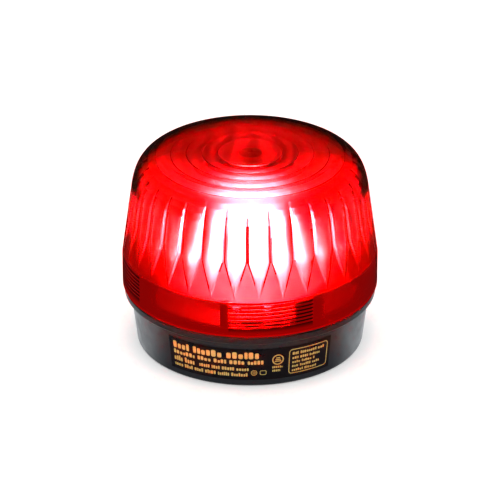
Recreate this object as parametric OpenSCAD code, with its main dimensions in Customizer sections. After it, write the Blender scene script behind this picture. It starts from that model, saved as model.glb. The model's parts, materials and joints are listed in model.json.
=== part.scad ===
// Round strobe beacon: a red screw-on lens over a dark base that holds the flash circuit.
// Origin at the centre of the flat underside, +Z up, the rating label faces -Y.

/* [Lens] */
// Outside diameter of the lens rim
lens_d = 100; // [98:0.5:106]
// Height of the whole light, from the underside of the base to the top of the dome
total_h = 79.4; // [76:0.1:86]
// Height of the straight rim of the lens
rim_h = 12.7; // [11:0.1:14]
// Height above the rim where the wall turns into the dome
shoulder_rise = 27.8; // [24:0.1:30]
// How far the wall leans in between the rim and the shoulder
wall_lean = 3.9; // [3:0.1:5]
// Wall thickness of the rim
rim_wall = 2.6; // [2.2:0.1:2.8]
// Thickness of the dome
dome_wall = 2.2; // [1.6:0.1:3]
// Number of vertical flutes inside the wall
flute_count = 32; // [24:4:40]
// Depth of one flute
flute_depth = 1.4; // [0.8:0.1:1.6]
// Radius of the first ring inside the dome
ring_first = 12.5; // [10:0.5:13]
// Distance from one ring to the next
ring_pitch = 6.1; // [5:0.1:6.1]
// Number of rings inside the dome
ring_count = 5; // [3:1:5]

/* [Thread] */
// Axial distance from one ridge to the next
thread_pitch = 1.5; // [1.4:0.05:1.6]
// Ridges in one segment
ridge_count = 7; // [4:1:7]
// Angle covered by one lens segment
lens_segment_angle = 39; // [30:1:42]
// Middle of the first lens segment, counted from the front towards +X
lens_segment_middle = 10.7; // [5:0.1:15]
// Angle covered by one tab of the base
tab_angle = 14; // [8:1:16]
// Middle of the first tab of the base, counted from the front towards +X
tab_middle = 29; // [24:1:29]
// Angle covered by one stop of the base, which the lens segments end against
stop_angle = 3.6; // [2:0.2:4]
// Middle of the first stop of the base, counted from the front towards +X
stop_middle = -12; // [-12.4:0.2:-12]

/* [Base] */
// Radius of the base at its underside
foot_r = 44.6; // [43:0.1:45]
// Radius of the base under the flange
waist_r = 46.8; // [46:0.1:47.5]
// Radius of the flange
flange_r = 49.3; // [48.8:0.1:49.6]
// Height at which the flange starts
flange_z = 20.2; // [19:0.1:21]
// Height of the flange's top face
seat_z = 23; // [22.6:0.1:23.2]
// Thickness of the base wall
base_wall = 2.4; // [2:0.1:2.6]
// Thickness of the floor
floor_t = 2.6; // [2:0.1:3]
// Height of the low ring that centres the lens
collar_h = 2.6; // [2:0.1:3]

/* [Mounting] */
// Distance between the two mounting holes
mount_spacing = 60; // [58:1:62]
// Diameter of the mounting holes
mount_hole_d = 4.5; // [4:0.1:5]
// Diameter of the wire passage through the grommet
wire_bore_d = 5.2; // [4:0.1:6]

/* [Seal] */
// Thickness of the flat rubber ring
seal_t = 0.75; // [0.5:0.05:0.8]

/* [Circuit] */
// Radius of the circuit board
board_r = 35.8; // [35.5:0.1:36]
// Thickness of the circuit board
board_t = 1.6; // [1.2:0.1:1.8]
// Height of the underside of the circuit board
board_z = 8; // [7.5:0.1:8.5]
// Height of the underside of the cover deck
deck_z = 24; // [24:0.1:24.4]
// Radius of the white dish round the flash tube
dish_r = 29; // [27:0.5:30]

/* [Flash tube] */
// Outside radius of the glass tube
glass_r = 2.2; // [2:0.1:2.6]
// Wall of the glass tube
glass_wall = 0.6; // [0.5:0.05:0.7]
// Radius of the bend, to the middle of the tube
bend_r = 5.5; // [5:0.1:5.8]
// Height of the middle of the bend
bend_z = 49; // [45:0.5:50]

/* [Label] */
// Half of the angle that the label covers
label_half_angle = 42; // [30:1:50]
// Height of the label's lower edge
label_z = 2.9; // [2:0.1:4]
// Height of the label
label_h = 14; // [10:0.5:15]
// Thickness of the label
label_t = 0.2; // [0.1:0.05:0.3]

/* [Hidden] */
$fn = 96;

front = -90;               // direction of the front of the light
eps = 0.01;                // overreach of a cutting solid
gap = 0.1;                 // clearance between neighbouring pieces
steel = [0.75, 0.76, 0.78];
tin = [0.8, 0.8, 0.78];

// Heights and radii of the lens
lens_r = lens_d / 2;
rim_z = seat_z + 0.8;
wall_z = rim_z + rim_h;
shoulder_z = wall_z + shoulder_rise;
shoulder_r = lens_r - wall_lean;
rim_in_r = lens_r - rim_wall;
shelf_z = wall_z + 1;
flute_valley_r = shoulder_r - 0.9;
flute_crest_r = flute_valley_r - flute_depth;
flute_top_z = shoulder_z - 3;
nipple_r = 0.9;
nipple_h = 0.5;
dome_top_z = total_h - nipple_h / 2;

// Thread: four starts, so that the segments repeat every quarter turn
thread_starts = 4;
lead = thread_pitch * thread_starts;
thread_low_z = rim_z + 2.8;
ridge_tip_in_r = rim_in_r - 1.4;
collar_out_r = rim_in_r - 1.8;
ridge_tip_out_r = rim_in_r - 0.5;
ridge_root = 0.9;
ridge_tip = 0.4;
collar_in_r = collar_out_r - 2.4;
tab_top_z = shelf_z - 0.9;

// Board, its posts and the pieces on it
board_top = board_z + board_t;
board_posts = [for (a = [90, 210, 330]) 30 * [cos(a), sin(a)]];
deck_posts = [for (a = [30, 150, 270]) 39.2 * [cos(a), sin(a)]];
mount_points = [for (side = [-1, 1]) [side * mount_spacing / 2, 0]];
post_r = 3;
pilot_r = 1.1;             // hole in a post that the thread of a screw bites into
clear_r = 1.6;             // hole that a screw passes through
access_r = 4.8;            // hole that lets a driver through to a mounting screw
boss_r = 4.6;              // raised seat round a mounting hole
boss_h = 1.4;
head_seat_r = 3.9;         // recess for the head of a mounting screw
head_seat_depth = 1;
wire_point = [0, 20];
wire_hole_r = 5;
grommet_rim_r = 6.6;
lead_r = 0.35;
lead_low_z = 7;
tab_hole_z = 11.6;
deck_t = 1.5;
deck_r = collar_in_r - 0.2;
board_screw_len = 6;
deck_screw_len = 7;
holder_r = 8.5;
dish_t = 0.9;
dish_h = 2;
holder_top_z = deck_z + 4;

// Axial pieces: place, direction, and distance between the bent leads
resistor_places = [
    [[0, 12.6], 0], [[23.5, 20], 0], [[-20, -22.5], -45], [[-9, -29.4], 0], [[-27.5, 13.5], 90]
];
diode_places = [[[4, -29.4], 0], [[17, -26], 30]];
axial_span = 7.6;
axial_z = board_top + 1.9;

// Ends of the leads of each piece on the board
transformer_at = [-16, 17];
coil_at = [22, 11.5];
input_cap_at = [12, 13];
flash_cap_at = [0, -19];
film_cap_at = [-16, -6];
transistor_at = [16, -6];
thyristor_at = [-22, -8.5];
terminal_at = [12, 23.5];
flash_cap_r = 6.3;
flash_cap_len = 26;

function axial_ends(places) = [
    for (p = places, s = [-1, 1]) p[0] + s * axial_span / 2 * [cos(p[1]), sin(p[1])]
];
function row(at, step, count, angle) = [
    for (i = [0 : count - 1]) at + (i - (count - 1) / 2) * step * [cos(angle), sin(angle)]
];
lead_points = concat(
    axial_ends(resistor_places), axial_ends(diode_places),
    row(transformer_at + [0, 5.2], 5, 3, 0), row(transformer_at - [0, 5.2], 5, 3, 0),
    row(coil_at, 5, 2, 90), row(input_cap_at, 3.5, 2, 0),
    row(flash_cap_at, flash_cap_len + 4, 2, 0), row(film_cap_at, 7.5, 2, 90),
    row(transistor_at, 2.54, 3, 90), row(thyristor_at, 1.3, 3, 0),
    row(terminal_at, 5, 2, 0), row([0, 0], 2 * bend_r, 2, 0)
);

// Cubic curve of the dome, from the shoulder (t = 0) to the top (t = 1)
dome_rise = dome_top_z - shoulder_z;
lean_rate = wall_lean / shoulder_rise;
dome_start = [shoulder_r, shoulder_z];
dome_pull = dome_start + 1.13 * dome_rise * [-lean_rate, 1];
dome_flat = [0.75 * shoulder_r, dome_top_z];
dome_end = [0, dome_top_z];
function dome(t) = pow(1 - t, 3) * dome_start + 3 * pow(1 - t, 2) * t * dome_pull
    + 3 * (1 - t) * t * t * dome_flat + pow(t, 3) * dome_end;
function dome_t(r, low = 0, high = 1, n = 24) =
    n == 0 ? (low + high) / 2
    : dome((low + high) / 2)[0] > r ? dome_t(r, (low + high) / 2, high, n - 1)
    : dome_t(r, low, (low + high) / 2, n - 1);
function dome_z(r) = dome(dome_t(r))[1];
function ring_r(i) = ring_first + i * ring_pitch;

// A bar of revolution over part of a turn, measured from the front
module arc(middle, width) {
    rotate([0, 0, front + middle - width / 2]) rotate_extrude(angle = width) children();
}

module at(point, z = 0) {
    translate([point[0], point[1], z]) children();
}

module leads(points, low, high) {
    for (p = points) at(p, low) cylinder(r = lead_r, h = high - low, $fn = 16);
}

// One ridge of the thread, tilted by the lead angle about the middle of its arc
module ridge(middle, width, root_r, tip_r, z) {
    tilt = atan(lead / (2 * PI * rim_in_r));
    height = z + lead * middle / 360;
    translate([0, 0, height]) rotate([0, 0, front + middle]) rotate([tilt, 0, 0])
        rotate([0, 0, -width / 2]) rotate_extrude(angle = width)
            polygon([
                [root_r, -ridge_root / 2], [root_r, ridge_root / 2],
                [tip_r, ridge_tip / 2], [tip_r, -ridge_tip / 2]
            ]);
}

// Height of a ridge at the front, shared by lens and base
function ridge_z(k, i) = thread_low_z + (i + 0.5) * thread_pitch - lead * k / thread_starts;

module base_housing() {
    color([0.16, 0.18, 0.2]) {
        difference() {
            union() {
                base_shell();
                for (p = board_posts) at(p, eps) cylinder(r = post_r, h = board_z - eps);
                for (p = deck_posts) at(p, eps) cylinder(r = post_r, h = deck_z - eps);
                for (p = mount_points) at(p, eps) cylinder(r = boss_r, h = floor_t + boss_h);
            }
            for (p = mount_points) at(p, -1) cylinder(d = mount_hole_d, h = floor_t + 4);
            for (p = mount_points) at(p, floor_t + boss_h - head_seat_depth)
                cylinder(r = head_seat_r, h = 3);
            for (p = board_posts) at(p, board_top - board_screw_len - 0.2)
                cylinder(r = pilot_r, h = board_z);
            for (p = deck_posts) at(p, deck_z + deck_t - deck_screw_len - 1.5)
                cylinder(r = pilot_r, h = 9);
            at(wire_point, -1) cylinder(r = wire_hole_r, h = floor_t + 2);
            at(wire_point, -1) cylinder(r = grommet_rim_r + 0.2, h = 2);
        }
        for (k = [0 : thread_starts - 1]) {
            base_tab(k);
            base_stop(k);
        }
    }
}

module base_shell() {
    rotate_extrude() difference() {
        polygon([
            [0, 0], [foot_r - 0.9, 0], [foot_r - 0.25, 0.25], [foot_r, 0.9],
            [waist_r, flange_z - 0.3], [waist_r + 0.3, flange_z], [flange_r - 0.5, flange_z],
            [flange_r, flange_z + 0.5], [flange_r, seat_z - 0.3], [flange_r - 0.3, seat_z],
            [collar_out_r, seat_z], [collar_out_r, seat_z + collar_h], [0, seat_z + collar_h]
        ]);
        polygon([
            [-1, floor_t], [foot_r - base_wall - 1, floor_t], [foot_r - base_wall, floor_t + 1],
            [waist_r - base_wall, flange_z - 1], [collar_in_r - 1.8, flange_z + 1.2],
            [collar_in_r - 1.8, deck_z], [collar_in_r, deck_z], [collar_in_r, deck_z + 9],
            [-1, deck_z + 9]
        ]);
    }
}

// An upright tab of the collar, with the ridges that hold the lens
module base_tab(k) {
    middle = tab_middle + 90 * k;
    low = seat_z + 0.4;
    arc(middle, tab_angle) polygon([
        [collar_in_r + 0.4, low], [collar_out_r - 0.02, low], [collar_out_r - 0.02, tab_top_z - 0.4],
        [collar_out_r - 0.4, tab_top_z], [collar_in_r + 0.4, tab_top_z]
    ]);
    for (i = [0 : ridge_count - 1])
        ridge(middle, tab_angle, collar_out_r - 0.5, ridge_tip_out_r,
            ridge_z(k, i) - thread_pitch / 2);
}

// An upright stop of the collar
module base_stop(k) {
    arc(stop_middle + 90 * k, stop_angle) polygon([
        [collar_in_r + 0.4, seat_z + 0.4], [collar_out_r - 0.02, seat_z + 0.4],
        [collar_out_r - 0.02, seat_z + collar_h + 0.2], [ridge_tip_out_r, seat_z + collar_h + 1.5],
        [ridge_tip_out_r, tab_top_z - 0.4], [ridge_tip_out_r - 0.4, tab_top_z],
        [collar_in_r + 0.4, tab_top_z]
    ]);
}

module rating_label() {
    slope = (waist_r - foot_r) / (flange_z - 1.2);
    low_r = foot_r + (label_z - 0.9) * slope + 0.02;
    high_r = low_r + label_h * slope;
    color([0.07, 0.05, 0.06]) arc(0, 2 * label_half_angle) polygon([
        [low_r, label_z], [low_r + label_t, label_z],
        [high_r + label_t, label_z + label_h], [high_r, label_z + label_h]
    ]);
}

module wire_grommet() {
    waist = wire_hole_r - gap;
    rim = grommet_rim_r;
    color([0.1, 0.1, 0.1]) at(wire_point) rotate_extrude() polygon([
        [wire_bore_d / 2, 0.2], [rim, 0.2], [rim, 0.95], [waist, 0.95], [waist, floor_t + 0.05],
        [rim, floor_t + 0.05], [rim, floor_t + 0.7], [rim - 0.8, floor_t + 1.4],
        [wire_bore_d / 2, floor_t + 1.4]
    ]);
}

module circuit_board() {
    color([0.1, 0.36, 0.2]) difference() {
        at([0, 0], board_z) cylinder(r = board_r, h = board_t);
        for (p = mount_points) at(p, board_z - 1) {
            cylinder(r = access_r, h = 4);
            translate([p[0] > 0 ? 0 : -10, -access_r, 0]) cube([10, 2 * access_r, 4]);
        }
        for (p = board_posts) at(p, board_z - 1) cylinder(r = clear_r, h = 4);
        for (p = lead_points) at(p, board_z - 1) cylinder(r = lead_r + 0.1, h = 4, $fn = 16);
        at(wire_point, board_z - 1) cylinder(r = 3.2, h = 4);
    }
}

// Pan-head screw standing on height z
module screw(head_r, core_r, core_len) {
    difference() {
        union() {
            rotate_extrude() polygon([
                [0, 0], [head_r, 0], [head_r, 0.7], [head_r - 0.7, 1.6], [0, 1.6]
            ]);
            translate([0, 0, -core_len]) cylinder(r = core_r, h = core_len + eps, $fn = 24);
        }
        for (turn = [0, 90]) rotate([0, 0, turn])
            translate([-head_r * 0.6, -0.35, 0.8]) cube([head_r * 1.2, 0.7, 2]);
    }
}

module board_screws() {
    color(steel) for (p = board_posts)
        at(p, board_top) screw(2.5, 1, board_screw_len);
}

module deck_screws() {
    color(steel) for (p = deck_posts)
        at(p, deck_z + deck_t) screw(2.3, 1, deck_screw_len);
}

module solder_joints() {
    color(tin) for (p = lead_points) at(p) rotate_extrude($fn = 16) polygon([
        [lead_r + 0.01, board_z - 0.6], [lead_r + 0.25, board_z - 0.55],
        [1, board_z], [lead_r + 0.01, board_z]
    ]);
}

// Inverter transformer: a ferrite frame with two windows, a bobbin and its winding
core_size = [16, 5, 12.6];
core_leg = 4.6;
core_edge = 2.4;
window_low = board_top + 1.2 + core_edge;
window_high = board_top + 1.2 + core_size[2] - core_edge;

module transformer_core() {
    color([0.2, 0.2, 0.22]) at(transformer_at) difference() {
        translate([-core_size[0] / 2, -core_size[1] / 2, board_top + 1.2]) cube(core_size);
        for (side = [-1, 1]) {
            near = core_leg / 2;
            wide = core_size[0] / 2 - core_edge - near;
            translate([side > 0 ? near : -near - wide, -core_size[1], window_low])
                cube([wide, 2 * core_size[1], window_high - window_low]);
        }
    }
}

module square_ring(inner, outer, low, high) {
    difference() {
        translate([-outer[0] / 2, -outer[1] / 2, low])
            cube([outer[0], outer[1], high - low]);
        translate([-inner[0] / 2, -inner[1] / 2, low - 1])
            cube([inner[0], inner[1], high - low + 2]);
    }
}

module transformer_bobbin() {
    hole = [core_leg + 0.2, core_size[1] + 0.2];
    drum = hole + [1.2, 1.2];
    flange = [core_size[0] - 2 * core_edge - 0.2, core_size[1] + 6];
    pins = concat(row(transformer_at + [0, 5.2], 5, 3, 0), row(transformer_at - [0, 5.2], 5, 3, 0));
    color([0.12, 0.12, 0.13]) at(transformer_at) {
        square_ring(hole, drum, window_low + 0.1, window_high - 0.1);
        for (z = [window_low + 0.1, window_high - 0.8])
            square_ring(hole, flange, z, z + 0.7);
        for (side = [-1, 1]) {
            translate([-6.5, side * 5.2 - 1.2, board_top]) cube([13, 2.4, 2.4]);
            translate([-3, side * 5.2 - 1.2, board_top + 2.3]) cube([6, 2.4, 1.5]);
        }
    }
    color(tin) leads(pins, lead_low_z, board_top + 0.5);
}

module transformer_winding() {
    inner = [core_leg + 1.6, core_size[1] + 1.6];
    outer = [core_size[0] - 2 * core_edge - 1, core_size[1] + 5];
    color([0.85, 0.68, 0.2]) at(transformer_at)
        square_ring(inner, outer, window_low + 0.9, window_high - 0.9);
}

// Ignition coil: a sectioned bobbin standing on the board
coil_low = board_top;
coil_h = 11;

module trigger_coil_bobbin() {
    color([0.9, 0.88, 0.82]) at(coil_at) difference() {
        union() {
            translate([0, 0, coil_low]) cylinder(r = 2, h = coil_h);
            for (z = [0, 3.4, 6.8, coil_h - 1])
                translate([0, 0, coil_low + z]) cylinder(r = 4, h = 1);
        }
        for (side = [-1, 1]) translate([0, side * 2.5, coil_low - 1])
            cylinder(r = lead_r + 0.05, h = 1.9, $fn = 16);
        translate([0, 0, coil_low + 1]) cylinder(r = 1.1, h = coil_h);
    }
    color(tin) leads(row(coil_at, 5, 2, 90), lead_low_z, coil_low + 0.85);
}

module trigger_coil_winding() {
    color([0.72, 0.36, 0.15]) at(coil_at) for (z = [1, 4.4, 7.8])
        translate([0, 0, coil_low + z + 0.05]) difference() {
            cylinder(r = 3.5, h = 2.1);
            translate([0, 0, -1]) cylinder(r = 2.05, h = 5);
        }
}

// Energy store: a can that lies on the board, with its crimp groove and end seals
module flash_capacitor() {
    half = flash_cap_len / 2;
    color([0.1, 0.12, 0.2]) at(flash_cap_at, board_top + flash_cap_r + 0.1)
        rotate([0, 90, 0]) rotate_extrude() polygon([
            [0, -half], [flash_cap_r - 0.8, -half], [flash_cap_r, -half + 0.8],
            [flash_cap_r, half - 3.6], [flash_cap_r - 0.8, half - 3], [flash_cap_r - 0.8, half - 2.4],
            [flash_cap_r, half - 1.8], [flash_cap_r, half - 0.6], [flash_cap_r - 0.6, half],
            [0, half]
        ]);
}

module capacitor_leads() {
    half = flash_cap_len / 2;
    axis_z = board_top + flash_cap_r + 0.1;
    color(tin) {
        for (side = [-1, 1]) at(flash_cap_at + [side * half, 0], axis_z)
            rotate([0, side * 90, 0]) cylinder(r = lead_r, h = 2, $fn = 16);
        for (p = row(flash_cap_at, flash_cap_len + 4, 2, 0)) at(p, lead_low_z)
            cylinder(r = lead_r, h = axis_z - lead_low_z + 0.2, $fn = 16);
    }
}

module input_capacitor() {
    can_r = 3.6;
    color([0.1, 0.1, 0.12]) at(input_cap_at, board_top) rotate_extrude() polygon([
        [0, 0], [can_r - 0.5, 0], [can_r, 0.4], [can_r, 1.4], [can_r - 0.4, 1.8],
        [can_r, 2.2], [can_r, 11], [can_r - 0.5, 11.5], [0, 11.5]
    ]);
    color(tin)
        leads(row(input_cap_at, 3.5, 2, 0), lead_low_z, board_top + eps);
}

module trigger_capacitor() {
    size = [5, 10, 9];
    color([0.75, 0.15, 0.12]) at(film_cap_at, board_top + size[2] / 2)
        rounded_box(size, 0.7);
    color(tin)
        leads(row(film_cap_at, 7.5, 2, 90), lead_low_z, board_top + eps);
}

// A block with round upright edges
module rounded_box(size, r) {
    translate([0, 0, -size[2] / 2]) {
        for (x = [-1, 1], y = [-1, 1])
            translate([x * (size[0] / 2 - r), y * (size[1] / 2 - r), 0])
                cylinder(r = r, h = size[2], $fn = 24);
        translate([-size[0] / 2 + r, -size[1] / 2, 0]) cube([size[0] - 2 * r, size[1], size[2]]);
        translate([-size[0] / 2, -size[1] / 2 + r, 0]) cube([size[0], size[1] - 2 * r, size[2]]);
    }
}

module power_transistor() {
    body = [4.4, 9.6, 7.6];
    color([0.1, 0.1, 0.11]) at(transistor_at, board_top + 1.6)
        translate([-body[0] / 2, -body[1] / 2, 0]) cube(body);
    color([0.7, 0.71, 0.73]) at(transistor_at, board_top + 1.6) difference() {
        translate([body[0] / 2, -body[1] / 2, 0.3]) cube([1.1, body[1], 12]);
        translate([0, 0, tab_hole_z - 1.6]) rotate([0, 90, 0]) cylinder(r = 1.6, h = 6);
    }
    color(tin)
        leads(row(transistor_at, 2.54, 3, 90), lead_low_z, board_top + 1.6 + eps);
}

// Bent aluminium plate behind the transistor
module heat_sink() {
    plate_x = 3.4;
    color([0.62, 0.64, 0.66]) at(transistor_at, board_top) {
        difference() {
            translate([plate_x, -6.4, 0.1]) cube([1.2, 12.8, 13.4]);
            translate([0, 0, tab_hole_z]) rotate([0, 90, 0]) cylinder(r = 1.35, h = 8);
        }
        for (side = [-1, 1]) translate([plate_x + 0.6, side * 5.8 - 0.6, 0.1])
            cube([3.4, 1.2, 13.4]);
    }
}

module transistor_screw() {
    color(steel) at(transistor_at, board_top + tab_hole_z)
        translate([2.2, 0, 0]) rotate([0, -90, 0]) screw(2.1, 1.2, 3.6);
}

module thyristor() {
    can_r = 2.35;
    color([0.1, 0.1, 0.11]) at(thyristor_at, board_top + 2) difference() {
        cylinder(r = can_r, h = 4.6);
        translate([-5, -5 - 1.3, -1]) cube([10, 5, 8]);
    }
    color(tin)
        leads(row(thyristor_at, 1.3, 3, 0), lead_low_z, board_top + 2 + eps);
}

// An axial piece with leads bent down through the board
module axial_piece(body_r, body_len, waist) {
    half = body_len / 2;
    rotate([0, 90, 0]) rotate_extrude($fn = 32) polygon([
        [0, -half], [body_r * 0.8, -half], [body_r, -half + 0.4], [body_r, -half + 1.3],
        [waist, -half + 1.7], [waist, half - 1.7], [body_r, half - 1.3],
        [body_r, half - 0.4], [body_r * 0.8, half], [0, half]
    ]);
}

module axial_wires(place) {
    at(place[0], axial_z) rotate([0, 0, place[1]]) rotate([0, 90, 0])
        translate([0, 0, -axial_span / 2]) cylinder(r = lead_r, h = axial_span, $fn = 16);
    leads(axial_ends([place]), lead_low_z, axial_z + 0.15);
}

module rectifier_diodes() {
    for (p = diode_places) {
        color([0.08, 0.08, 0.09]) at(p[0], axial_z) rotate([0, 0, p[1]])
            axial_piece(1.3, 5.2, 1.3);
        color(tin) axial_wires(p);
    }
}

module resistors() {
    for (p = resistor_places) {
        color([0.8, 0.7, 0.5]) at(p[0], axial_z) rotate([0, 0, p[1]])
            axial_piece(1.2, 6.2, 1);
        color(tin) axial_wires(p);
    }
}

module terminal_block() {
    size = [10, 7.4, 8.5];
    color([0.1, 0.35, 0.55]) at(terminal_at, board_top) difference() {
        translate([-size[0] / 2, -size[1] / 2, 0]) cube(size);
        translate([-size[0], size[1] / 2 + 2, size[2] + 1.6]) rotate([45, 0, 0])
            translate([0, -3, -3]) cube([2 * size[0], 6, 6]);
        for (side = [-1, 1]) translate([side * 2.5, 0, 0]) {
            translate([0, 0, 3]) cylinder(r = 1.7, h = size[2]);
            translate([-1.3, -size[1], 1.4]) cube([2.6, size[1], 3]);
        }
    }
    color(tin)
        leads(row(terminal_at, 5, 2, 0), lead_low_z, board_top + eps);
}

module terminal_screws() {
    color(steel) for (side = [-1, 1])
        at(terminal_at + [side * 2.5, 0], board_top + 4.6) difference() {
            cylinder(r = 1.6, h = 2.6, $fn = 32);
            translate([-2, -0.25, 1.8]) cube([4, 0.5, 2]);
        }
}

// Dark cover over the circuit, with holes that let a driver reach the mounting screws
module cover_deck() {
    color([0.1, 0.1, 0.11]) difference() {
        at([0, 0], deck_z) cylinder(r = deck_r, h = deck_t);
        at([0, 0], deck_z - 1) cylinder(r = holder_r + 0.5, h = 6);
        for (p = mount_points) at(p, deck_z - 1) cylinder(r = access_r, h = 6);
        for (p = deck_posts) at(p, deck_z - 1) cylinder(r = clear_r, h = 6);
    }
}

// White dish round the tube holder, with a turned-up rim and a notch at each mounting screw
module reflector_dish() {
    low = deck_z + deck_t + 0.02;
    hole_r = holder_r + 0.5;
    color([0.93, 0.93, 0.92]) difference() {
        rotate_extrude() polygon([
            [hole_r, low], [dish_r - 1.5, low], [dish_r, low + 1.2], [dish_r, low + dish_h],
            [dish_r - 0.6, low + dish_h], [dish_r - 2, low + dish_t],
            [hole_r + 4, low + dish_t], [hole_r + 2, low + dish_h], [hole_r, low + dish_h]
        ]);
        for (p = mount_points) at(p, deck_z) cylinder(r = access_r + 0.3, h = 6);
    }
}

// Insulating post with two sockets for the legs of the tube
module tube_holder() {
    color([0.95, 0.94, 0.9]) difference() {
        rotate_extrude() polygon([
            [0, board_top], [holder_r, board_top], [holder_r, holder_top_z - 1],
            [holder_r - 1, holder_top_z], [0, holder_top_z]
        ]);
        for (side = [-1, 1]) translate([side * bend_r, 0, 0]) {
            translate([0, 0, holder_top_z - 5]) cylinder(r = glass_r + 0.1, h = 9);
            translate([0, 0, board_top - 1]) cylinder(r = 0.6, h = 30, $fn = 24);
        }
    }
}

// Bent glass tube of the flash lamp
module flash_tube() {
    leg_low = holder_top_z - 4.8;
    color([0.95, 0.97, 1, 0.6]) {
        translate([0, 0, bend_z]) rotate([90, 0, 0]) rotate_extrude(angle = 180)
            translate([bend_r, 0]) difference() {
                circle(r = glass_r, $fn = 48);
                circle(r = glass_r - glass_wall, $fn = 48);
            }
        for (side = [-1, 1]) translate([side * bend_r, 0, leg_low]) difference() {
            cylinder(r = glass_r, h = bend_z - leg_low, $fn = 48);
            translate([0, 0, -1])
                cylinder(r = glass_r - glass_wall, h = bend_z - leg_low + 2, $fn = 48);
        }
    }
}

// Pins and tips inside the two legs
module tube_electrodes() {
    tip_z = holder_top_z + 1.5;
    color([0.7, 0.7, 0.72]) for (side = [-1, 1]) translate([side * bend_r, 0, 0]) {
        translate([0, 0, lead_low_z]) cylinder(r = lead_r, h = tip_z - lead_low_z + eps, $fn = 16);
        translate([0, 0, tip_z]) cylinder(r = side < 0 ? 1.3 : 1, h = side < 0 ? 3 : 2, $fn = 32);
    }
}

// Fine wire wound round both legs in two bands, with a straight run between them
module trigger_wire() {
    wire_r = 0.18;
    turn_r = glass_r + wire_r + 0.02;
    low = holder_top_z + 8.2;
    high = bend_z - 1.6;
    color([0.8, 0.78, 0.72]) for (side = [-1, 1]) translate([side * bend_r, 0, 0]) {
        for (band_z = [low, high], turn = [0 : 2]) translate([0, 0, band_z + turn * 0.5])
            rotate_extrude($fn = 48) translate([turn_r, 0]) circle(r = wire_r, $fn = 16);
        translate([0, turn_r + 0.1, holder_top_z])
            cylinder(r = wire_r, h = high + 1 - holder_top_z, $fn = 16);
    }
}

module lens_seal() {
    color([0.12, 0.12, 0.12]) translate([0, 0, seat_z + 0.02]) difference() {
        cylinder(r = flange_r - 0.5, h = seal_t);
        translate([0, 0, -1]) cylinder(r = collar_out_r + 0.3, h = 3);
    }
}

module lens() {
    color([0.85, 0.03, 0.03, 0.75]) {
        difference() {
            rotate_extrude() lens_outline();
            rotate_extrude() lens_cavity();
            flute_cavity();
        }
        for (k = [0 : thread_starts - 1], i = [0 : ridge_count - 1])
            ridge(lens_segment_middle + 90 * k, lens_segment_angle, rim_in_r + 0.4,
                ridge_tip_in_r, ridge_z(k, i));
    }
}

module lens_outline() {
    steps = 14;
    polygon(concat(
        [[0, rim_z], [lens_r - 0.4, rim_z], [lens_r, rim_z + 0.4], [lens_r, wall_z]],
        [for (i = [0 : steps]) let (p = dome(i / steps)) if (p[0] > nipple_r) p],
        [[nipple_r, dome_z(nipple_r)], [nipple_r * 0.6, total_h], [0, total_h]]
    ));
}

// Stepped ceiling: each ring is level and drops to the next one
module lens_cavity() {
    drop = dome_wall;
    rings = [for (i = [ring_count - 1 : -1 : 0]) ring_r(i)];
    polygon(concat(
        [[0, rim_z - 1], [rim_in_r, rim_z - 1], [rim_in_r, shelf_z - 0.6],
         [rim_in_r - 0.6, shelf_z], [flute_crest_r - 0.05, shelf_z],
         [flute_crest_r - 0.05, flute_top_z], [ring_r(ring_count) - 1, shoulder_z + 5]],
        [for (r = rings, s = [0, 1])
            [r + 0.4 - s * 0.8, dome_z(r + (1 - s) * ring_pitch * 0.8) - drop]],
        [[0, dome_z(ring_first) - drop]]
    ));
}

module flute_cavity() {
    translate([0, 0, shelf_z - 0.02]) linear_extrude(height = flute_top_z - shelf_z)
        polygon([
            for (i = [0 : flute_count - 1], s = [0, 0.5])
                let (a = front + 4.3 + (i + s) * 360 / flute_count,
                     r = s == 0 ? flute_valley_r : flute_crest_r)
                r * [cos(a), sin(a)]
        ]);
}

base_housing();
rating_label();
wire_grommet();
circuit_board();
board_screws();
solder_joints();
transformer_core();
transformer_bobbin();
transformer_winding();
trigger_coil_bobbin();
trigger_coil_winding();
flash_capacitor();
capacitor_leads();
input_capacitor();
trigger_capacitor();
power_transistor();
heat_sink();
transistor_screw();
thyristor();
rectifier_diodes();
resistors();
terminal_block();
terminal_screws();
cover_deck();
reflector_dish();
deck_screws();
tube_holder();
flash_tube();
tube_electrodes();
trigger_wire();
lens_seal();
lens();
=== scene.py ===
"""Looks of the strobe beacon: a lit red lens on a dark base, on a pale studio floor."""

import json
import math
import random

import bmesh
import bpy
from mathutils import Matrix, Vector


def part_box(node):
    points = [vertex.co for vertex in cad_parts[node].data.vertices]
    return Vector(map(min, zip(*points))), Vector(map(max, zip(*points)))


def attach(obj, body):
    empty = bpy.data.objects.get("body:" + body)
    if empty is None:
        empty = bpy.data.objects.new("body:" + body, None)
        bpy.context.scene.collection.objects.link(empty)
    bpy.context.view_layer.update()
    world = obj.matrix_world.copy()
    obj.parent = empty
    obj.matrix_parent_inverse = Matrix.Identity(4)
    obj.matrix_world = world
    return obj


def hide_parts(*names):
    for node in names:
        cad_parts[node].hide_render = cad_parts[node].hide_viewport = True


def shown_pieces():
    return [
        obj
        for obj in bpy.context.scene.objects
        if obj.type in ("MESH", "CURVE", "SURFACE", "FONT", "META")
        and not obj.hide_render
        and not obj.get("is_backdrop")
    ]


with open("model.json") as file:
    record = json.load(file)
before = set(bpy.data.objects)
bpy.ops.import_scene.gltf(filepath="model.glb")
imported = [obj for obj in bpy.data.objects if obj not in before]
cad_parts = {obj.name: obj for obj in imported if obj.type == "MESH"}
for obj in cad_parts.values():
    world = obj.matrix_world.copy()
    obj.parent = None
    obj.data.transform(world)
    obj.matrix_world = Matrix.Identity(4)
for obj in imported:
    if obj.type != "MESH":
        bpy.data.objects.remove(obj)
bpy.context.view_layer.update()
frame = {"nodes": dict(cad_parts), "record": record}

MM = 0.001
TAU = 2 * math.pi

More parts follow.
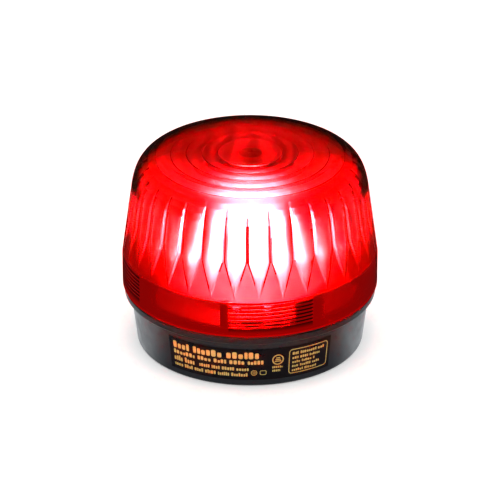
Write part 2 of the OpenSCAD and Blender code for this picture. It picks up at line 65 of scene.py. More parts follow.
# ---------------------------------------------------------------- measures from the frame
lens_low, lens_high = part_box("lens")
holder_low, holder_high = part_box("tube_holder")
glass_low, glass_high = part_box("flash_tube")
label_low, label_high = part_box("rating_label")

LENS_R = lens_high.x
LENS_TOP = lens_high.z
RIM_Z = lens_low.z
FRONT = math.radians(-90)          # the front of the light looks along -Y


# ---------------------------------------------------------------- small helpers
def around(angle, radius, z):
    """A point at an angle from the front, positive towards +X."""
    a = FRONT + math.radians(angle)
    return Vector((radius * math.cos(a), radius * math.sin(a), z))


def piece(name, verts, faces, body, material, smooth=True):
    """A mesh object that rides on a CAD body."""
    mesh = bpy.data.meshes.new(name)
    mesh.from_pydata([tuple(v) for v in verts], [], faces)
    mesh.validate()
    bm = bmesh.new()
    bm.from_mesh(mesh)
    bmesh.ops.recalc_face_normals(bm, faces=bm.faces)
    bm.to_mesh(mesh)
    bm.free()
    for face in mesh.polygons:
        face.use_smooth = smooth
    obj = bpy.data.objects.new(name, mesh)
    bpy.context.scene.collection.objects.link(obj)
    mesh.materials.append(material)
    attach(obj, body)
    return obj


def sharpen(obj, degrees):
    """Marks edges sharper than an angle, so that flat facets stay crisp."""
    bm = bmesh.new()
    bm.from_mesh(obj.data)
    for edge in bm.edges:
        if len(edge.link_faces) == 2:
            edge.smooth = edge.calc_face_angle(0) < math.radians(degrees)
    bm.to_mesh(obj.data)
    bm.free()


# ---------------------------------------------------------------- materials
class Shader:
    """A node material with a Principled surface and a few named texture nodes."""

    def __init__(self, name):
        self.material = bpy.data.materials.new(name)
        self.material.use_nodes = True
        self.tree = self.material.node_tree
        self.tree.nodes.clear()
        self.out = self.add("ShaderNodeOutputMaterial")
        self.surface = self.add("ShaderNodeBsdfPrincipled")
        self.link(self.surface.outputs[0], self.out.inputs["Surface"])

    def add(self, kind, **values):
        node = self.tree.nodes.new(kind)
        for key, value in values.items():
            if key in node.inputs:
                node.inputs[key].default_value = value
            else:
                setattr(node, key, value)
        return node

    def link(self, a, b):
        self.tree.links.new(a, b)

    def set(self, **values):
        for key, value in values.items():
            self.surface.inputs[key.replace("_", " ")].default_value = value
        return self

    def coords(self):
        return self.add("ShaderNodeTexCoord").outputs["Object"]

    def noise(self, scale, detail=3.0, stretch=None):
        tex = self.add("ShaderNodeTexNoise", Scale=scale, Detail=detail, Roughness=0.55)
        source = self.coords()
        if stretch:
            mapping = self.add("ShaderNodeMapping", Scale=stretch)
            self.link(source, mapping.inputs["Vector"])
            source = mapping.outputs["Vector"]
        self.link(source, tex.inputs["Vector"])
        return tex.outputs["Fac"]

    def ramp(self, source, stops):
        """Colours by value: each stop is a place from 0 to 1 and a colour."""
        node = self.add("ShaderNodeValToRGB")
        elements = node.color_ramp.elements
        while len(elements) < len(stops):
            elements.new(0.5)
        for element, (place, colour) in zip(elements, stops):
            element.position = place
            element.color = (*colour, 1)
        self.link(source, node.inputs["Fac"])
        return node.outputs["Color"]

    def span(self, source, low, high, start=0.0, end=1.0):
        """Maps a value that runs from start to end onto low to high."""
        node = self.add("ShaderNodeMapRange")
        node.inputs["From Min"].default_value = start
        node.inputs["From Max"].default_value = end
        node.inputs["To Min"].default_value = low
        node.inputs["To Max"].default_value = high
        self.link(source, node.inputs["Value"])
        return node.outputs["Result"]

    def bump(self, height, strength, distance):
        node = self.add("ShaderNodeBump", Strength=strength, Distance=distance)
        self.link(height, node.inputs["Height"])
        self.link(node.outputs["Normal"], self.surface.inputs["Normal"])

    def vary_colour(self, source, low, high):
        self.link(self.ramp(source, [(0.3, low), (0.7, high)]), self.surface.inputs["Base Color"])

    def vary_rough(self, source, low, high):
        self.link(self.span(source, low, high, 0.3, 0.7), self.surface.inputs["Roughness"])


def scaled(colour, factor):
    return tuple(min(1.0, c * factor) for c in colour)


def plastic(name, colour, rough=0.4, grain=1400.0, depth=0.25, spread=0.12, **sockets):
    """Moulded plastic: fine grain in the bump, slow changes of colour and gloss."""
    s = Shader(name)
    s.set(**sockets)
    s.vary_colour(s.noise(60.0, 4.0), scaled(colour, 1 - spread), scaled(colour, 1 + spread))
    s.vary_rough(s.noise(180.0, 5.0), rough - 0.06, rough + 0.08)
    s.bump(s.noise(grain, 2.0), depth, 0.00005)
    return s.material


def metal(name, colour, rough=0.3, stretch=(1, 1, 12), scale=900.0):
    """Drawn or plated metal with fine lines and dull spots."""
    s = Shader(name)
    s.set(Metallic=1.0)
    s.vary_colour(s.noise(300.0, 4.0), scaled(colour, 0.8), scaled(colour, 1.1))
    s.vary_rough(s.noise(scale, 3.0, stretch=stretch), rough - 0.1, rough + 0.15)
    s.bump(s.noise(scale, 3.0, stretch=stretch), 0.2, 0.00003)
    return s.material


LENS_DYE = (0.88, 0.016, 0.05)
LENS_DENSITY = 2400.0                # dye strength, per metre
LENS_IOR = 1.56
DARKEST_TINT = (0.002, 0.00002, 0.00002)   # what passes where the lens is darkest, under the most painted shade and rim darkening
TINT_STOPS = 4
# Painted glow: red emission on the lens itself, standing in for the flash's light carried in the
# wall
PAINTED_GLOW_RED = (1.0, 0.002, 0.002)
PAINTED_GLOW_INSIDE = 0.1                    # strength of the painted glow as seen from inside the lens
PAINTED_GLOW_THROUGH = 2.0                   # and through the wall
RIM_STARTS, RIM_ENDS = 0.54, 0.87    # facing values between which the rim darkens
RIM_MOST = 0.75
FLASH_WHITE = (0.96, 0.96, 0.96)     # lamp light that passes the lens as a shadow ray


def see_through(shader, surface, colour):
    """Lets lamp light pass a clear solid: shadow rays see it as thin."""
    clear = shader.add("ShaderNodeBsdfTransparent", Color=(*colour, 1))
    path = shader.add("ShaderNodeLightPath")
    mix = shader.add("ShaderNodeMixShader")
    shader.link(path.outputs["Is Shadow Ray"], mix.inputs["Fac"])
    shader.link(surface, mix.inputs[1])
    shader.link(clear.outputs[0], mix.inputs[2])
    shader.link(mix.outputs[0], shader.out.inputs["Surface"])


def lens_material():
    """Clear red polycarbonate: smooth outside, with fine frost and haze inside, a painted glow
    and painted shade.
    """
    s = Shader("lens_red")
    s.set(Transmission_Weight=1.0, IOR=LENS_IOR)

    def painted(name):
        return s.add("ShaderNodeAttribute", attribute_name=name).outputs["Fac"]

    s.link(painted("frost"), s.surface.inputs["Roughness"])
    facing = s.add("ShaderNodeLayerWeight", Blend=0.5).outputs["Facing"]
    # Darkening of the lens: the rim darkening where it turns away, plus painted shade from the
    # mesh
    grazing_and_shade = s.add("ShaderNodeMath", operation="MULTIPLY_ADD")
    s.link(s.span(facing, 0, RIM_MOST, RIM_STARTS, RIM_ENDS), grazing_and_shade.inputs[0])
    s.link(painted("rim"), grazing_and_shade.inputs[1])
    s.link(painted("painted_shade"), grazing_and_shade.inputs[2])
    places = [i / TINT_STOPS for i in range(TINT_STOPS + 1)]
    tint = s.ramp(grazing_and_shade.outputs[0], [(at, tuple(c ** at for c in DARKEST_TINT)) for at in places])
    s.link(tint, s.surface.inputs["Base Color"])
    # Painted glow: the lens gives off red light of its own wherever the mesh asks for it
    s.link(s.ramp(painted("painted_glow"), [(0, (0, 0, 0)), (1, PAINTED_GLOW_RED)]),
           s.surface.inputs["Emission Color"])
    outward = s.add("ShaderNodeNewGeometry").outputs["Backfacing"]
    s.link(s.span(outward, PAINTED_GLOW_INSIDE, PAINTED_GLOW_THROUGH), s.surface.inputs["Emission Strength"])
    haze = s.add("ShaderNodeBsdfGlass", distribution="BECKMANN", IOR=LENS_IOR)
    s.link(painted("spread"), haze.inputs["Roughness"])
    s.link(tint, haze.inputs["Color"])
    both = s.add("ShaderNodeMixShader")
    s.link(painted("haze"), both.inputs["Fac"])
    s.link(s.surface.outputs[0], both.inputs[1])
    s.link(haze.outputs[0], both.inputs[2])
    see_through(s, both.outputs[0], FLASH_WHITE)
    dye = s.add("ShaderNodeVolumeAbsorption", Color=(*LENS_DYE, 1), Density=LENS_DENSITY)
    s.link(dye.outputs[0], s.out.inputs["Volume"])
    return s.material


def glass_material():
    s = Shader("tube_glass")
    s.set(Transmission_Weight=1.0, IOR=1.46, Roughness=0.02, Base_Color=(1, 1, 1, 1))
    see_through(s, s.surface.outputs[0], (0.97, 0.97, 0.97))
    return s.material


ARC_GLOW = 12500.0


def arc_material():
    """The burning gas: white, a little warmer or cooler from place to place."""
    s = Shader("xenon_arc")
    s.set(Base_Color=(1, 1, 1, 1), Emission_Strength=ARC_GLOW)
    tint = s.ramp(s.noise(500.0, 2.0), [(0.3, (1.0, 0.93, 0.96)), (0.7, (0.93, 0.95, 1.0))])
    s.link(tint, s.surface.inputs["Emission Color"])
    return s.material


MATERIALS = {
    "housing_plastic": plastic("housing_plastic", (0.022, 0.027, 0.031), 0.34, 1800, 0.2,
                               Specular_IOR_Level=0.5),
    "label_film": plastic("label_film", (0.006, 0.003, 0.004), 0.3, 600, 0.05,
                          Specular_IOR_Level=0.3),
    "seal_rubber": plastic("seal_rubber", (0.02, 0.02, 0.02), 0.7, 900, 0.4),
    "board_laminate": plastic("board_laminate", (0.03, 0.15, 0.06), 0.35, 2500, 0.35),
    "screw_steel": metal("screw_steel", (0.62, 0.62, 0.6), 0.3),
    "solder": metal("solder", (0.65, 0.65, 0.64), 0.25),
    "ferrite": plastic("ferrite", (0.04, 0.04, 0.043), 0.6, 2200, 0.5),
    "bobbin_plastic": plastic("bobbin_plastic", (0.025, 0.025, 0.026), 0.5),
    "winding_tape": plastic("winding_tape", (0.72, 0.44, 0.05), 0.25, 300, 0.3),
    "coil_plastic": plastic("coil_plastic", (0.75, 0.7, 0.6), 0.45),
    "copper_wire": metal("copper_wire", (0.7, 0.25, 0.09), 0.3, (1, 1, 40), 2500),
    "capacitor_sleeve": plastic("capacitor_sleeve", (0.015, 0.02, 0.06), 0.22, 200, 0.1),
    "lead_wire": metal("lead_wire", (0.68, 0.67, 0.63), 0.25),
    "film_capacitor": plastic("film_capacitor", (0.45, 0.04, 0.02), 0.2, 500, 0.4),
    "transistor_plastic": plastic("transistor_plastic", (0.02, 0.02, 0.022), 0.5, 2500, 0.5),
    "sink_aluminium": metal("sink_aluminium", (0.66, 0.67, 0.69), 0.35),
    "resistor_coat": plastic("resistor_coat", (0.58, 0.42, 0.24), 0.35, 400, 0.5),
    "terminal_plastic": plastic("terminal_plastic", (0.015, 0.1, 0.27), 0.4),
    "reflector_white": plastic("reflector_white", (0.6, 0.6, 0.6), 0.25, 900, 0.15, 0.04),
    "holder_ceramic": plastic("holder_ceramic", (0.84, 0.82, 0.77), 0.5, 1500, 0.5),
    "tube_glass": glass_material(),
    "lens_red": lens_material(),
}

for row in frame["record"]["subparts"]:
    node = frame["nodes"][row["node"]]
    node.data.materials.clear()
    node.data.materials.append(MATERIALS[row["material_slot"]])


# ---------------------------------------------------------------- lens
FLUTES = 32
FLUTE_STEPS = 12                     # mesh columns in one flute
HALF = FLUTE_STEPS // 2
COLUMNS = FLUTES * FLUTE_STEPS
STEP_ANGLE = 360 / COLUMNS
SEAM_ANGLE = -1.3                    # the joint between two flutes nearest the front
WALL_Z = RIM_Z + 12.7 * MM
SHOULDER_Z = WALL_Z + 27.8 * MM
SHOULDER_R = LENS_R - 3.9 * MM
NIPPLE_R = 0.9 * MM                  # the moulded point on top
NIPPLE_RISE = 0.25 * MM
NIPPLE_ROWS = 5
DOME_TOP = LENS_TOP - NIPPLE_RISE
DOME_ROWS = 40
BAND_IN_R = LENS_R - 2.6 * MM
SHELF_Z = WALL_Z + 1 * MM
TIP_Z = SHELF_Z + 0.7 * MM           # the pencil tips of the flutes
FULL_Z = TIP_Z + 15 * MM             # where neighbouring flutes meet
FLUTE_DEPTH = 1.35 * MM
THICK_WALL = 3.1 * MM
DOME_WALL = 2.2 * MM
RING_STEP = 0.5 * MM
RINGS = [12.5 * MM + i * 6.1 * MM for i in range(5)]
# One ring's section: distance in from its edge, and the share of the step that is added there
RING_SHAPE = ((-0.12 * MM, 1.0), (0.12 * MM, 0.0), (2.0 * MM, 0.08), (4.0 * MM, 0.4))
SEGMENTS = 4                         # thread segments round the band
PATCH = (-9, 33)                     # columns between which the first segment lies
PATCH_EDGE = 0.12                    # width of a segment's steep side, in degrees
RIDGES = 7
RIDGE_PITCH = 1.5 * MM
RIDGE_LOW = RIM_Z + 2.8 * MM
RIDGE_HIGH = 1.4 * MM
# One ridge's section: height above its foot, and the share of its full depth
RIDGE_SHAPE = ((0.30 * MM, 0.0), (0.55 * MM, 0.9), (0.75 * MM, 1.0), (0.95 * MM, 0.9),
               (1.20 * MM, 0.0))
LEAD = 6 * MM                        # how far the thread climbs in a turn


def dome_point(t):
    """Outer profile from the shoulder (0) to the top (1)."""
    rise = DOME_TOP - SHOULDER_Z
    lean = (LENS_R - SHOULDER_R) / (SHOULDER_Z - WALL_Z)
    p = ((SHOULDER_R, SHOULDER_Z),
         (SHOULDER_R - 1.13 * rise * lean, SHOULDER_Z + 1.13 * rise),
         (0.75 * SHOULDER_R, DOME_TOP),
         (0.0, DOME_TOP))
    w = ((1 - t) ** 3, 3 * (1 - t) ** 2 * t, 3 * (1 - t) * t * t, t ** 3)
    return tuple(sum(a * q[i] for a, q in zip(w, p)) for i in (0, 1))


def dome_inside(t, wall):
    """The point a wall's thickness in from the outer profile, square to it."""
    ahead, behind = dome_point(min(1.0, t + 1e-4)), dome_point(max(0.0, t - 1e-4))
    dr, dz = ahead[0] - behind[0], ahead[1] - behind[1]
    length = math.hypot(dr, dz)
    r, z = dome_point(t)
    return max(0.0, r - wall * dz / length), z + wall * dr / length


def dome_place(radius):
    """Where along the outer profile a radius is reached."""
    low, high = 0.0, 1.0
    for _ in range(40):
        middle = (low + high) / 2
        if dome_point(middle)[0] > radius:
            low = middle
        else:
            high = middle
    return low


def wall_radius(z):
    if z <= WALL_Z:
        return LENS_R
    return LENS_R + (SHOULDER_R - LENS_R) * (z - WALL_Z) / (SHOULDER_Z - WALL_Z)


def lens_columns():
    """Each mesh column's angle, place in its flute counted from the middle, and thread share."""
    columns = []
    width = PATCH[1] - PATCH[0]
    for j in range(COLUMNS):
        angle = SEAM_ANGLE + j * STEP_ANGLE
        m = abs(j % FLUTE_STEPS - FLUTE_STEPS / 2)
        k = (j - PATCH[0]) % (COLUMNS // SEGMENTS)
        if k == 0:
            columns.append((angle - PATCH_EDGE, m, 0))
        columns.append((angle, m, 1 if k <= width else 0))
        if k == width:
            columns.append((angle + PATCH_EDGE, m, 0))
    return columns


def thread_shift(angle):
    """How far the ridges climb at an angle: the lead inside a segment, and back between two."""
    half = (PATCH[1] - PATCH[0]) / 2 * STEP_ANGLE
    middle = SEAM_ANGLE + (PATCH[0] + PATCH[1]) / 2 * STEP_ANGLE
    reach = 180 / SEGMENTS
    away = (angle - middle + reach) % (2 * reach) - reach
    if abs(away) <= half:
        return LEAD * away / 360
    rest = reach - half
    return LEAD * half / 360 * (reach - abs(away)) / rest * (1 if away > 0 else -1)


def outer_rows():
    """Profile of the outside, from the rim to the top."""
    rows = [(LENS_R - 0.5 * MM, RIM_Z), (LENS_R - 0.15 * MM, RIM_Z + 0.12 * MM),
            (LENS_R, RIM_Z + 0.5 * MM), (LENS_R, (RIM_Z + WALL_Z) / 2),
            (LENS_R, WALL_Z - 0.5 * MM), (LENS_R - 0.03 * MM, WALL_Z + 0.2 * MM),
            (wall_radius(WALL_Z + 1 * MM), WALL_Z + 1 * MM)]
    for i in range(1, 8):
        z = WALL_Z + (SHOULDER_Z - WALL_Z) * i / 8
        rows.append((wall_radius(z), z))
    for i in range(DOME_ROWS):
        r, z = dome_point(i / DOME_ROWS)
        if r > NIPPLE_R * 2:
            rows.append((r, z))
    for i in range(NIPPLE_ROWS):
        a = math.radians(90 * i / NIPPLE_ROWS)
        rows.append((NIPPLE_R * math.cos(a), DOME_TOP + NIPPLE_RISE * math.sin(a)))
    return rows


# What the lens's material reads from the mesh: frost blurs the surface, haze is the share of
# light that it scatters and spread how widely, a painted shade darkens it, a painted glow lights
# it, and rim darkens it where it turns away from the viewer. FINISH has the first five, for each
# part of the inside.
PAINT = ("frost", "haze", "spread", "painted_shade", "painted_glow", "rim")
FINISH = {
    # The fourth column is painted shade, darkest at the roots between the ridges; the fifth is
    # painted glow
    "band": (0.04, 0.0, 0.5, 0.5, 0.33),
    "ridge": (0.05, 0.0, 0.5, 0.0, 0.25),
    "root": (0.05, 0.0, 0.5, 1.4, 0.0),
    "flute": (0.07, 0.65, 0.48, 0.0, 1.0),
    "shoulder": (0.06, 0.8, 0.5, 0.0, 1.0),
    "dome": (0.14, 0.7, 0.62, 1.0, 1.0),
}
RIM_DARK = 2.6                       # how much the dome's outside darkens
RIM_RISE = 4 * MM                    # and the height over which that sets in
PAINTED_GLOW_FADE = 0.97                     # share of the painted glow that is lost on the way up
MIDDLE_HAZE = 0.4                    # share of the dome's haze that its middle has
MIDDLE_SHADE = 0.2                    # and share of its painted shade


def inner_rows():
    """Rows of the inside: each has a function from a column to (r, z), and a finish."""
    rows = []

    def plain(r, z, finish):
        rows.append((lambda angle, m, inside: (r, z), finish))

    def fluted(r, z, reach, share, finish):
        """A row cut by round flutes that reach so many columns to each side of their middle."""
        def place(angle, m, inside):
            cut = math.sqrt(1 - (m / reach) ** 2) if m < reach else 0.0
            return r + FLUTE_DEPTH * share * cut, z
        rows.append((place, finish))

    def ridge(offset, height):
        def place(angle, m, inside):
            return BAND_IN_R - height * inside, RIDGE_LOW + offset + thread_shift(angle)
        rows.append((place, "ridge" if height else "root"))

    plain(BAND_IN_R, RIM_Z, "band")
    plain(BAND_IN_R, RIM_Z + 1.2 * MM, "band")
    for i in range(RIDGES):
        for up, share in RIDGE_SHAPE:
            ridge(i * RIDGE_PITCH + up, RIDGE_HIGH * share)
    plain(BAND_IN_R, SHELF_Z - 0.3 * MM, "band")
    plain(BAND_IN_R - 0.3 * MM, SHELF_Z, "band")
    plain(wall_radius(SHELF_Z) - THICK_WALL, SHELF_Z, "flute")
    for i in range(HALF + 1):
        z = TIP_Z + (FULL_Z - TIP_Z) * i / HALF
        fluted(wall_radius(z) - THICK_WALL, z, i, i / HALF, "flute")
    for i in range(1, 5):
        z = FULL_Z + (SHOULDER_Z - FULL_Z) * i / 4
        fluted(wall_radius(z) - THICK_WALL, z, HALF, 1, "flute")
    for i in range(1, 5):
        r, z = dome_inside(0.09 * i, THICK_WALL + (DOME_WALL + RING_STEP - THICK_WALL) * i / 4)
        fluted(r, z, HALF, 1 - i / 4, "shoulder")
    for ring in reversed(RINGS):
        for inward, share in RING_SHAPE:
            plain(*dome_inside(dome_place(ring - inward), DOME_WALL + RING_STEP * share), "dome")
    plain(*dome_inside(dome_place(5 * MM), DOME_WALL + 0.8 * RING_STEP), "dome")
    plain(*dome_inside(dome_place(1.5 * MM), DOME_WALL + RING_STEP), "dome")
    return rows


def outside_at(z):
    """The polished outside: only the dome darkens towards its rim."""
    return 0.0, 0.0, 0.5, 0.0, 0.0, RIM_DARK * min(1.0, max(0.0, (z - SHOULDER_Z) / RIM_RISE))


def finish_at(name, r, z):
    """The finish inside: the painted glow fades up the wall, and the dome is clearer in its
    middle, where its painted shade grows.
    """
    frost, haze, spread, painted_shade, painted_glow = FINISH[name]
    share = (z - FULL_Z) / (SHOULDER_Z + 3 * MM - FULL_Z)
    painted_glow *= 1 - PAINTED_GLOW_FADE * min(1.0, max(0.0, share)) ** 0.7
    if name == "dome":
        inward = 1 - r / SHOULDER_R
        haze *= min(1.0, MIDDLE_HAZE + 1.2 * (1 - inward))
        # Painted shade in the dome grows towards its middle
        painted_shade *= MIDDLE_SHADE * inward
    return frost, haze, spread, painted_shade, painted_glow, 0.0


def build_lens():
    """The lens as one closed skin: outside, inside, and the rim and caps that join them."""
    columns = lens_columns()
    outer = outer_rows()
    inner = inner_rows()
    verts, faces, finish = [], [], []
    for angle, m, inside in columns:
        for r, z in outer:
            verts.append(around(angle, r, z))
            finish.append(outside_at(z))
        for place, name in inner:
            r, z = place(angle, m, inside)
            verts.append(around(angle, r, z))
            if name in ("ridge", "root") and not inside:
                name = "band"
            finish.append(finish_at(name, r, z))
    n_out = len(outer)
    n = n_out + len(inner)
    count = len(columns)
    tips = n_out + [name for _, name in inner].index("flute") + 1
    for j in range(count):
        k = (j + 1) % count
        a, b = j * n, k * n
        for i in range(n_out - 1):
            faces.append((a + i, b + i, b + i + 1, a + i + 1))
        for i in range(n_out, n - 1):
            quad = (a + i, a + i + 1, b + i + 1, b + i)
            if not tips <= i < tips + HALF:
                faces.append(quad)
            elif columns[k][1] < columns[j][1]:
                faces += [(quad[0], quad[1], quad[3]), (quad[1], quad[2], quad[3])]
            else:
                faces += [(quad[0], quad[1], quad[2]), (quad[0], quad[2], quad[3])]
        faces.append((a, a + n_out, b + n_out, b))
    top = len(verts)
    verts.append(Vector((0, 0, LENS_TOP)))
    finish.append(outside_at(LENS_TOP))
    verts.append(Vector((0, 0, DOME_TOP - DOME_WALL - RING_STEP)))
    finish.append(finish_at("dome", 0.0, DOME_TOP))
    for j in range(count):
        k = (j + 1) % count
        faces.append((j * n + n_out - 1, k * n + n_out - 1, top))
        faces.append((k * n + n - 1, j * n + n - 1, top + 1))
    lens = piece("lens_body", verts, faces, "lens", MATERIALS["lens_red"])
    for i, name in enumerate(PAINT):
        layer = lens.data.attributes.new(name, "FLOAT", "POINT")
        layer.data.foreach_set("value", [row[i] for row in finish])
    sharpen(lens, 6)
    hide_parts("lens")
    return lens


lens_body = build_lens()


# ---------------------------------------------------------------- flash tube
ARC_FOOT = 5 * MM                    # how far above the holder the gas burns
ARC_R = 1.2 * MM


def tube_path(steps=24):
    """Centre line of the bent tube, from one leg to the other."""
    bend = (glass_high.x - glass_low.x) / 2 - (glass_high.y - glass_low.y) / 2
    top = glass_high.z - (glass_high.y - glass_low.y) / 2 - bend
    low = glass_low.z
    points = [Vector((-bend, 0, low + (top - low) * i / 8)) for i in range(8)]
    for i in range(steps + 1):
        a = math.pi - math.pi * i / steps
        points.append(Vector((bend * math.cos(a), 0, top + bend * math.sin(a))))
    points += [Vector((bend, 0, top - (top - low) * (i + 1) / 8)) for i in range(8)]
    return points


def sweep(points, radius, sides=16):
    """A closed round bar along points that lie in the plane y = 0."""
    verts, faces = [], []
    for i, p in enumerate(points):
        ahead = points[min(i + 1, len(points) - 1)] - points[max(i - 1, 0)]
        ahead.normalize()
        side = Vector((0, 1, 0))
        up = ahead.cross(side)
        for j in range(sides):
            a = TAU * j / sides
            verts.append(p + radius * (math.cos(a) * side + math.sin(a) * up))
    for i in range(len(points) - 1):
        for j in range(sides):
            k = (j + 1) % sides
            faces.append((i * sides + j, i * sides + k, (i + 1) * sides + k, (i + 1) * sides + j))
    faces.append(tuple(range(sides))[::-1])
    last = (len(points) - 1) * sides
    faces.append(tuple(last + j for j in range(sides)))
    return verts, faces


def build_arc():
    path = tube_path()
    points = [p for p in path if p.z >= holder_high.z + ARC_FOOT]
    verts, faces = sweep(points, ARC_R)
    return piece("flash_arc", verts, faces, "base", arc_material())


arc = build_arc()


# ---------------------------------------------------------------- label print
def label_radius(z):
    """Outer radius of the label at a height, from its own mesh."""
    points = [v.co for v in frame["nodes"]["rating_label"].data.vertices]
    low = max(math.hypot(p.x, p.y) for p in points if p.z < label_low.z + 0.5 * MM)
    high = max(math.hypot(p.x, p.y) for p in points if p.z > label_high.z - 0.5 * MM)
    return low + (high - low) * (z - label_low.z) / (label_high.z - label_low.z)


class Print:
    """Flat marks on the label: each one is a thin closed strip that follows its curve."""

    STEP = 1.2                       # longest straight stretch of a line, in millimetres
    FOOT, FACE = 0.004, 0.03         # back and front of the ink above the label

    def __init__(self):
        self.verts, self.faces = [], []
        self.low, self.high = label_radius(label_low.z), label_radius(label_high.z)

    def place(self, x, z, lift):
        """A point x along the label and z above its foot, in millimetres."""
        share = z * MM / (label_high.z - label_low.z)
        radius = self.low + (self.high - self.low) * share + lift * MM
        return around(math.degrees(x * MM / self.high), radius, label_low.z + z * MM)

    def ribbon(self, inner, outer, closed=False):
        """A strip between two rows of points, with a small thickness."""
        first, count = len(self.verts), len(inner)
        for a, b in zip(inner, outer):
            for x, z in (a, b):
                self.verts += [self.place(x, z, self.FOOT), self.place(x, z, self.FACE)]
        ends = count if closed else count - 1
        for i in range(ends):
            p, q = first + 4 * i, first + 4 * ((i + 1) % count)
            for m, n in ((0, 1), (1, 3), (3, 2), (2, 0)):
                self.faces.append((p + m, q + m, q + n, p + n))
        if not closed:
            last = first + 4 * (count - 1)
            self.faces.append((first, first + 1, first + 3, first + 2))
            self.faces.append((last + 2, last + 3, last + 1, last))

    def bar(self, x, z, width, height):
        """A bar with clipped corners."""
        cut = min(width, height) * 0.22
        steps = [0, cut, width - cut, width]
        ends = [cut, 0, 0, cut]
        inner = [(x + s, z + e) for s, e in zip(steps, ends)]
        outer = [(x + s, z + height - e) for s, e in zip(steps, ends)]
        self.ribbon(inner, outer)

    def words(self, x, z, width, height, letter, seed):
        """A line of small blocks in groups that stands in for a line of writing."""
        dice = random.Random(seed)
        end = x + width
        while x < end - letter:
            for _ in range(dice.randint(3, 8)):
                step = letter * dice.uniform(0.62, 1.05)
                if x + step > end:
                    break
                rise = height * dice.choice((1, 1, 1, 0.72, 0.72, 0.86))
                self.bar(x, z, step * 0.74, rise)
                x += step
            x += letter * 0.55

    def loop(self, points, thickness):
        """A closed line drawn along points, in short steps that follow the label's curve."""
        steps, inner, outer = [], [], []
        for (ax, az), (bx, bz) in zip(points, points[1:] + points[:1]):
            count = math.ceil(math.hypot(bx - ax, bz - az) / self.STEP)
            steps += [(ax + (bx - ax) * i / count, az + (bz - az) * i / count)
                      for i in range(count)]
        for i, (x, z) in enumerate(steps):
            ax, az = steps[(i + 1) % len(steps)]
            bx, bz = steps[i - 1]
            dx, dz = ax - bx, az - bz
            length = math.hypot(dx, dz)
            nx, nz = -dz / length * thickness / 2, dx / length * thickness / 2
            inner.append((x + nx, z + nz))
            outer.append((x - nx, z - nz))
        self.ribbon(inner, outer, closed=True)

    def frame(self, x, z, width, height, corner, thickness):
        """A rectangle with round corners, drawn as a line."""
        points = []
        for cx, cz, start in ((x + width - corner, z + height - corner, 0),
                              (x + corner, z + height - corner, 90),
                              (x + corner, z + corner, 180),
                              (x + width - corner, z + corner, 270)):
            for i in range(6):
                a = math.radians(start + 18 * i)
                points.append((cx + corner * math.cos(a), cz + corner * math.sin(a)))
        self.loop(points, thickness)

    def ring(self, x, z, radius, thickness):
        self.loop([(x + radius * math.cos(TAU * i / 28), z + radius * math.sin(TAU * i / 28))
                   for i in range(28)], thickness)


def build_print():
    """Rows of blocks, two rings and two frames in place of the writing and marks."""
    art = Print()
    left = -32.2
    art.words(left, 9.7, 38.6, 3.0, 2.5, 3)
    art.words(left, 7.1, 38.2, 1.8, 1.75, 5)
    art.words(left, 4.0, 10.6, 2.3, 1.5, 8)
    art.words(left + 11.6, 4.2, 21.0, 1.5, 1.1, 13)
    art.words(left, 1.6, 31.5, 1.6, 1.15, 21)
    art.ring(1.6, 3.3, 1.1, 0.25)
    art.ring(1.6, 3.3, 0.5, 0.2)
    art.frame(4.0, 2.4, 2.4, 1.8, 0.5, 0.25)
    art.ring(11.0, 8.8, 2.1, 0.42)
    for i in range(3):
        art.bar(9.7 + 0.25 * i, 7.9 + 0.75 * i, 2.6 - 0.5 * i, 0.4)
    art.words(8.8, 5.0, 4.6, 0.9, 0.8, 34)
    art.words(8.8, 3.4, 4.6, 0.9, 0.8, 36)
    art.frame(15.6, 1.6, 17.0, 10.9, 1.3, 0.32)
    art.words(16.9, 10.0, 14.5, 1.3, 1.1, 55)
    for i in range(4):
        art.words(16.9, 8.0 - 1.85 * i, (13.5, 10.5, 13.0, 12.5)[i], 1.1, 1.0, 89 + i)
    ink = Shader("label_ink")
    ink.vary_colour(ink.noise(900.0, 4.0), (0.62, 0.46, 0.10), (0.80, 0.62, 0.18))
    ink.vary_rough(ink.noise(1500.0), 0.3, 0.5)
    ink.bump(ink.noise(4000.0), 0.15, 0.00002)
    piece("label_print", art.verts, art.faces, "base", ink.material, smooth=False)


build_print()


# ---------------------------------------------------------------- studio
OUTSIDE = ("base_housing", "rating_label", "label_print", "lens_seal")
COOL_WHITE = (0.93, 0.96, 1.0)
CARD_R = 76 * MM
CARD_FADE = (-32 * MM, -16 * MM)     # where the card grows bright, from the front to the back


def area_light(name, place, target, size, power, colour=(1, 1, 1)):
    data = bpy.data.lights.new(name, "AREA")
    data.shape = "RECTANGLE"
    data.size, data.size_y = size
    data.energy = power
    data.color = colour
    light = bpy.data.objects.new(name, data)
    bpy.context.scene.collection.objects.link(light)
    light.location = place
    light.rotation_euler = (Vector(target) - Vector(place)).to_track_quat("-Z", "Y").to_euler()
    return light


def stage_plate(name, outline, z, shader, **seen):
    """A flat stage piece that only the named kinds of ray can see."""
    mesh = bpy.data.meshes.new(name)
    mesh.from_pydata([(x, y, 0) for x, y in outline], [], [tuple(range(len(outline)))])
    plate = bpy.data.objects.new(name, mesh)
    plate.location.z = z
    bpy.context.scene.collection.objects.link(plate)
    for kind in ("camera", "diffuse", "glossy", "transmission", "shadow"):
        setattr(plate, "visible_" + kind, seen.get(kind, False))
    mesh.materials.append(shader.material)
    plate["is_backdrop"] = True
    return plate


def one_sided(shader):
    """Lets a camera under the stage see through it."""
    under = shader.add("ShaderNodeNewGeometry").outputs["Backfacing"]
    mix = shader.add("ShaderNodeMixShader")
    shader.link(under, mix.inputs["Fac"])
    shader.link(shader.surface.outputs[0], mix.inputs[1])
    shader.link(shader.add("ShaderNodeBsdfTransparent").outputs[0], mix.inputs[2])
    shader.link(mix.outputs[0], shader.out.inputs["Surface"])


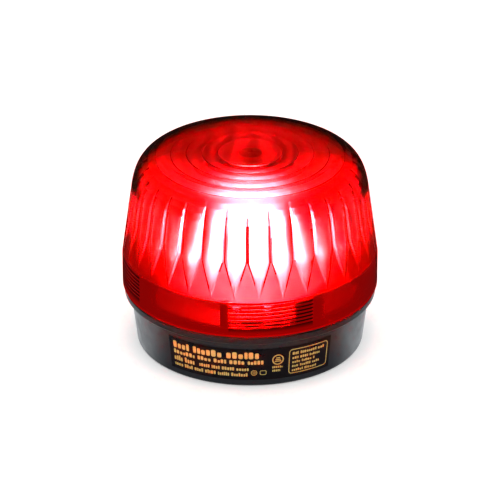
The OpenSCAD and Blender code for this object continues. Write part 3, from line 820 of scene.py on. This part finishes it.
def keep_to(light, name, receivers):
    """Light linking: the light falls on these objects only."""
    lit = bpy.data.collections.new(name)
    for obj in receivers:
        lit.objects.link(obj)
    light.light_linking.receiver_collection = lit


def build_floor():
    s = Shader("floor_paper")
    s.set(Base_Color=(0.93, 0.93, 0.93, 1), Roughness=0.9, Specular_IOR_Level=0.1)
    s.bump(s.noise(60.0, 3.0), 0.05, 0.0005)
    one_sided(s)
    return stage_plate("floor", [(-3, -3), (3, -3), (3, 3), (-3, 3)], -0.2 * MM, s,
                       camera=True, diffuse=True, shadow=True)


def build_card():
    """A glowing disc under the light, which only the dark outside of the base mirrors."""
    s = Shader("sheen_card")
    s.set(Base_Color=(0, 0, 0, 1), Roughness=1.0, Specular_IOR_Level=0.0, Emission_Strength=1.3)
    split = s.add("ShaderNodeSeparateXYZ")
    s.link(s.coords(), split.inputs[0])
    depth = s.ramp(s.span(split.outputs["Y"], 0, 1, *CARD_FADE),
                   [(0, (0.10, 0.10, 0.12)), (1, (0.92, 0.96, 1.0))])
    s.link(depth, s.surface.inputs["Emission Color"])
    one_sided(s)
    outline = [(CARD_R * math.cos(TAU * i / 48), CARD_R * math.sin(TAU * i / 48))
               for i in range(48)]
    card = stage_plate("sheen_card", outline, -0.1 * MM, s, glossy=True)
    keep_to(card, "lit_by_card", [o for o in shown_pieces() if o.name in OUTSIDE])


def build_world():
    """White to the camera, and dim to everything else."""
    world = bpy.data.worlds.new("studio")
    bpy.context.scene.world = world
    world.use_nodes = True
    tree = world.node_tree
    dim = tree.nodes["Background"]
    dim.inputs["Color"].default_value = (0.9, 0.95, 1, 1)
    dim.inputs["Strength"].default_value = 0.012
    white = tree.nodes.new("ShaderNodeBackground")
    path = tree.nodes.new("ShaderNodeLightPath")
    mix = tree.nodes.new("ShaderNodeMixShader")
    tree.links.new(path.outputs["Is Camera Ray"], mix.inputs["Fac"])
    tree.links.new(dim.outputs[0], mix.inputs[1])
    tree.links.new(white.outputs[0], mix.inputs[2])
    tree.links.new(mix.outputs[0], tree.nodes["World Output"].inputs["Surface"])


def build_lights(floor):
    """Two lights for the floor, one of them without shadows, and a weak key for the object."""
    soft = area_light("softbox_floor", (0, 0, 1.2), (0, 0, 0), (1.6, 1.6), 12.0)
    fill = area_light("softbox_fill", (0, 0, 1.2), (0, 0, 0), (5.0, 5.0), 95.0)
    keep_to(soft, "lit_by_softbox", [floor])
    keep_to(fill, "lit_by_fill", [floor])
    unshaded = bpy.data.collections.new("fill_blockers")
    unshaded.objects.link(floor)
    fill.light_linking.blocker_collection = unshaded
    key = area_light("softbox_key", (-0.5, -0.7, 0.9), (0, 0, 0.03), (0.5, 0.5), 1.2, COOL_WHITE)
    keep_to(key, "lit_by_key", [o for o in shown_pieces() if o.name != "lens_body"])


def build_camera():
    """Long lens, looking down on the front of the light."""
    elevation = math.radians(26.5)
    distance = 14.0 * 2 * LENS_R
    target = Vector((0, 0, 36.3 * MM))
    data = bpy.data.cameras.new("camera")
    data.sensor_width = 36
    data.lens = 257.5
    data.clip_start = 0.01
    data.clip_end = 20
    camera = bpy.data.objects.new("camera", data)
    bpy.context.scene.collection.objects.link(camera)
    camera.location = target + distance * Vector((0, -math.cos(elevation), math.sin(elevation)))
    camera.rotation_euler = (target - camera.location).to_track_quat("-Z", "Y").to_euler()
    bpy.context.scene.camera = camera


stage_floor = build_floor()
build_card()
build_world()
build_lights(stage_floor)
for source in (arc, lens_body):
    keep_to(source, "lit_by_" + source.name, [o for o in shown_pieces() if o.name not in OUTSIDE])
build_camera()
bpy.context.scene.view_settings.view_transform = "Standard"
bpy.context.scene.cycles.sample_clamp_indirect = 5000    # lets the arc's light through the haze
